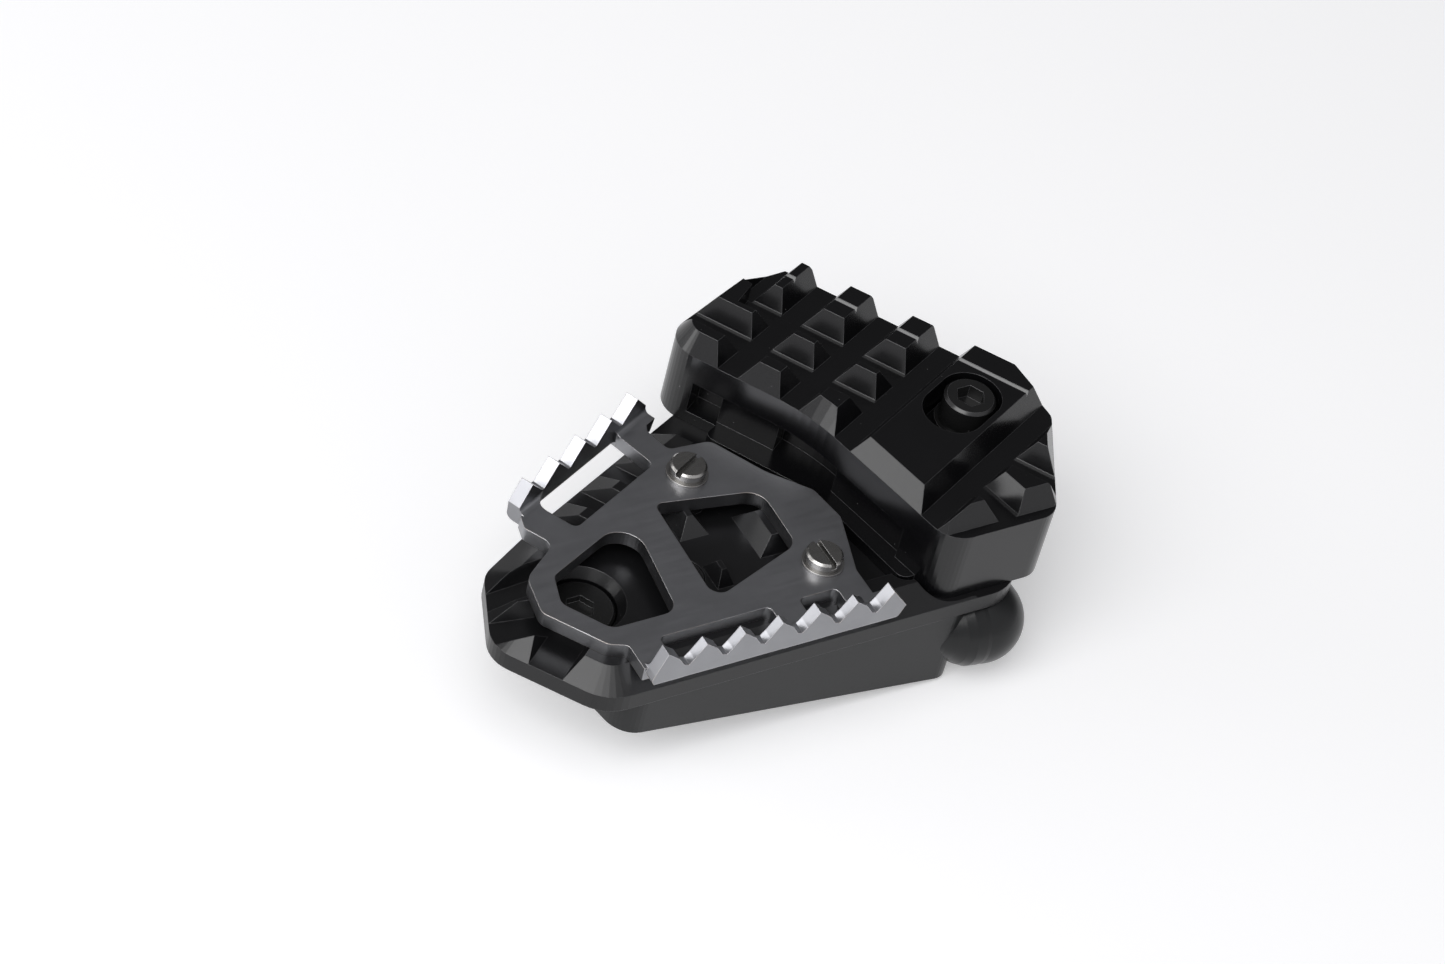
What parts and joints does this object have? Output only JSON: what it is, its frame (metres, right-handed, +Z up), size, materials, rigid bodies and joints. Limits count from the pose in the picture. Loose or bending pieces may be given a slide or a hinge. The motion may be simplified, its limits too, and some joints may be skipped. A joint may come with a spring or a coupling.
{
  "type": "brake pedal step with raised toe pad",
  "caption": "Motorcycle brake pedal step: black base on a cast foot, toothed sheet-metal tread and a studded raised toe pad that slides outboard.",
  "frame": {"origin": "centre of the lever socket's mouth, on the rear end of the foot's round boss", "axes": "+X runs along the front edge, outboard, away from the clamp bolt; +Y runs rearward along the lever socket, out of its mouth; +Z is up, out of the tread"},
  "size_m": [0.1186, 0.0797, 0.0419],
  "materials": {
    "cast_black": "satin",
    "anodised_black": "satin",
    "tread_steel": "satin",
    "bolt_black": "satin",
    "bright_steel": "satin"
  },
  "bodies": {
    "step": {"pedal_foot": "cast_black", "base_plate": "anodised_black", "tread_plate": "tread_steel", "pad_bolt": "bolt_black", "pad_washer": "bolt_black", "pad_nut": "bright_steel", "guide_pin_front": "bright_steel", "guide_pin_rear": "bright_steel", "tread_screw_side": "bright_steel", "tread_screw_front": "bright_steel", "tread_washer_side": "bright_steel", "tread_washer_front": "bright_steel", "clamp_bolt": "bolt_black", "clamp_washer": "bright_steel", "clamp_nut": "bright_steel", "base_bolt_inner": "bolt_black", "base_bolt_outer": "bolt_black", "insert_inner": "bright_steel", "insert_outer": "bright_steel", "set_screw_inner": "bolt_black", "set_screw_outer": "bolt_black"},
    "pad": {"raised_pad": "anodised_black"}
  },
  "joints": [
    {"name": "pad_slide", "type": "slide", "parent": "step", "child": "pad", "axis": [0.9048, 0.4258, 0], "range_m": [0, 0.006]}
  ]
}
